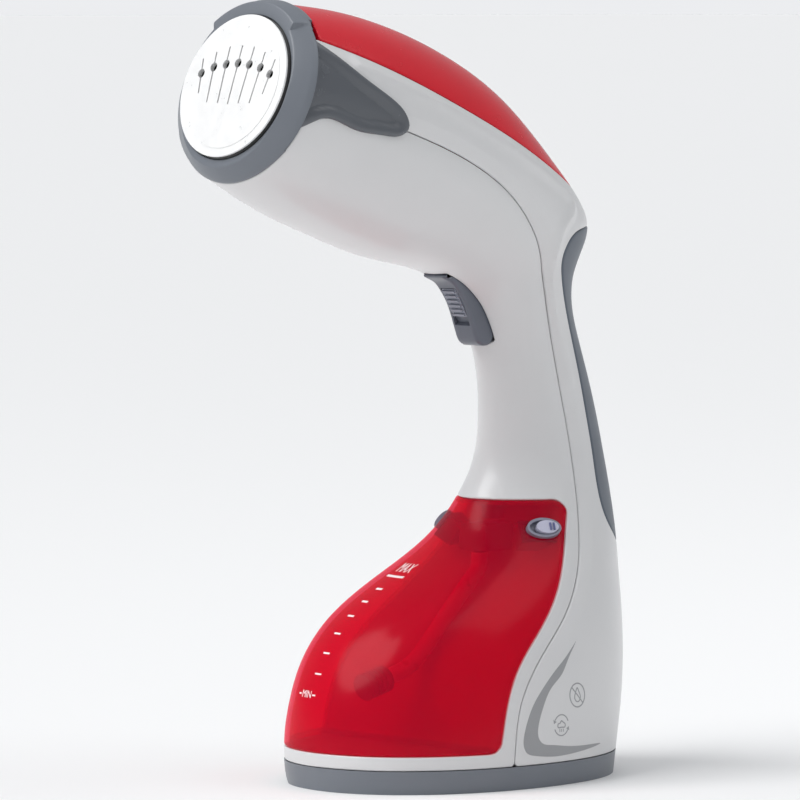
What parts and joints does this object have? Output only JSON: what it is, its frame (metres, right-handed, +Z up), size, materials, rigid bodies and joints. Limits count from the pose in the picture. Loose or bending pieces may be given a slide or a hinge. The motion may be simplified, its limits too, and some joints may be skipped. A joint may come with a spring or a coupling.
{
  "type": "handheld garment steamer",
  "caption": "Upright handheld garment steamer with a round steam head, trigger in the handle and a removable water tank at the foot.",
  "frame": {"origin": "middle of the foot's flat underside, on the surface it stands on", "axes": "+Z up the handle, the steam head points to -Y, +X is to the right seen from the front"},
  "size_m": [0.0996, 0.1897, 0.2861],
  "materials": {
    "white_shell": "glossy moulded plastic",
    "red_cover": "high gloss moulded plastic",
    "soft_grip": "fine matt soft-touch rubber",
    "grey_trim": "satin moulded plastic",
    "screw_steel": "zinc plated",
    "steam_plate_metal": "polished",
    "seal_rubber": "matt moulded silicone",
    "cast_boiler": "raw die cast",
    "element_steel": "drawn tube",
    "inner_plastic": "plain moulded",
    "control_can": "pressed can",
    "pale_button": "satin moulded plastic",
    "spring_wire": "bright wire",
    "switch_plastic": "plain moulded",
    "clear_red_tank": "clear tinted plastic",
    "clear_tube": "clear moulded tube",
    "silicone_hose": "translucent silicone",
    "coil_wrap": "taped winding in a moulded bobbin",
    "yoke_steel": "zinc plated sheet",
    "gland_rubber": "matt moulded",
    "board_green": "coated laminate",
    "loom_wire": "sleeved wires"
  },
  "bodies": {
    "body": {"front_shell": "white_shell", "rear_shell": "white_shell", "top_cover": "red_cover", "rear_grip": "soft_grip", "base_foot": "grey_trim", "foot_screws": "screw_steel", "shell_screw": "screw_steel", "nozzle_collar": "grey_trim", "steam_plate": "steam_plate_metal", "plate_gasket": "seal_rubber", "boiler_body": "cast_boiler", "heating_element": "element_steel", "boiler_carrier": "inner_plastic", "boiler_screws": "screw_steel", "thermostat": "control_can", "thermal_fuse": "control_can", "trigger_pin": "screw_steel", "trigger_spring": "spring_wire", "micro_switch": "switch_plastic", "bay_seal": "seal_rubber", "inlet_coupling": "inner_plastic", "inlet_hose": "silicone_hose", "outlet_hose": "silicone_hose", "pump_housing": "inner_plastic", "pump_coil": "coil_wrap", "pump_yoke": "yoke_steel", "pump_mounts": "seal_rubber", "pump_cradle": "inner_plastic", "pump_spring": "spring_wire", "cord_gland": "gland_rubber", "cord_clamp": "inner_plastic", "circuit_board": "board_green", "terminal_block": "inner_plastic", "wiring_loom": "loom_wire"},
    "tank": {"tank_shell": "clear_red_tank", "tank_floor": "clear_red_tank", "outlet_valve": "inner_plastic", "pickup_tube": "clear_tube", "pickup_filter": "inner_plastic", "latch_bezel_right": "grey_trim", "latch_bezel_left": "grey_trim", "latch_spring_right": "spring_wire", "latch_spring_left": "spring_wire", "latch_pockets": "inner_plastic"},
    "fill_plug": {"fill_plug": "seal_rubber"},
    "trigger": {"trigger": "grey_trim"},
    "steam_lock": {"steam_lock": "pale_button"},
    "switch_plunger": {"switch_plunger": "pale_button"},
    "pump_piston": {"pump_piston": "element_steel"},
    "latch_right": {"latch_slider_right": "pale_button"},
    "latch_left": {"latch_slider_left": "pale_button"}
  },
  "joints": [
    {"name": "tank_slide", "type": "slide", "parent": "body", "child": "tank", "axis": [0, -1, 0], "range_m": [0, 0.12]},
    {"name": "fill_plug_lift", "type": "slide", "parent": "tank", "child": "fill_plug", "axis": [0, 0, 1], "range_m": [0, 0.006]},
    {"name": "trigger_pull", "type": "hinge", "parent": "body", "child": "trigger", "pos_m": [0, 0.0065, 0.184], "axis": [1, 0, 0], "range_deg": [0, 9], "stiffness_Nm_per_rad": 0.35, "springref_deg": -11.46, "deforming": ["trigger_spring"]},
    {"name": "steam_lock_slide", "type": "slide", "parent": "trigger", "child": "steam_lock", "axis": [0, 0.5089, -0.8608], "range_m": [0, 0.003]},
    {"name": "switch_press", "type": "slide", "parent": "body", "child": "switch_plunger", "axis": [0, 1, 0], "range_m": [0, 0.0022]},
    {"name": "pump_stroke", "type": "slide", "parent": "body", "child": "pump_piston", "axis": [0, 0, 1], "range_m": [-0.003, 0.003], "stiffness_N_per_m": 800, "deforming": ["pump_spring"]},
    {"name": "latch_right_slide", "type": "slide", "parent": "tank", "child": "latch_right", "axis": [-0.4209, -0.9069, 0.02], "range_m": [0, 0.002], "stiffness_N_per_m": 300, "springref_m": -0.002, "deforming": ["latch_spring_right"]},
    {"name": "latch_left_slide", "type": "slide", "parent": "tank", "child": "latch_left", "axis": [0.4209, -0.9069, 0.02], "range_m": [0, 0.002], "stiffness_N_per_m": 300, "springref_m": -0.002, "deforming": ["latch_spring_left"]}
  ],
  "couplings": [
    {"joint": "switch_press", "follows": "trigger_pull", "m_per_rad": 0.0135}
  ]
}
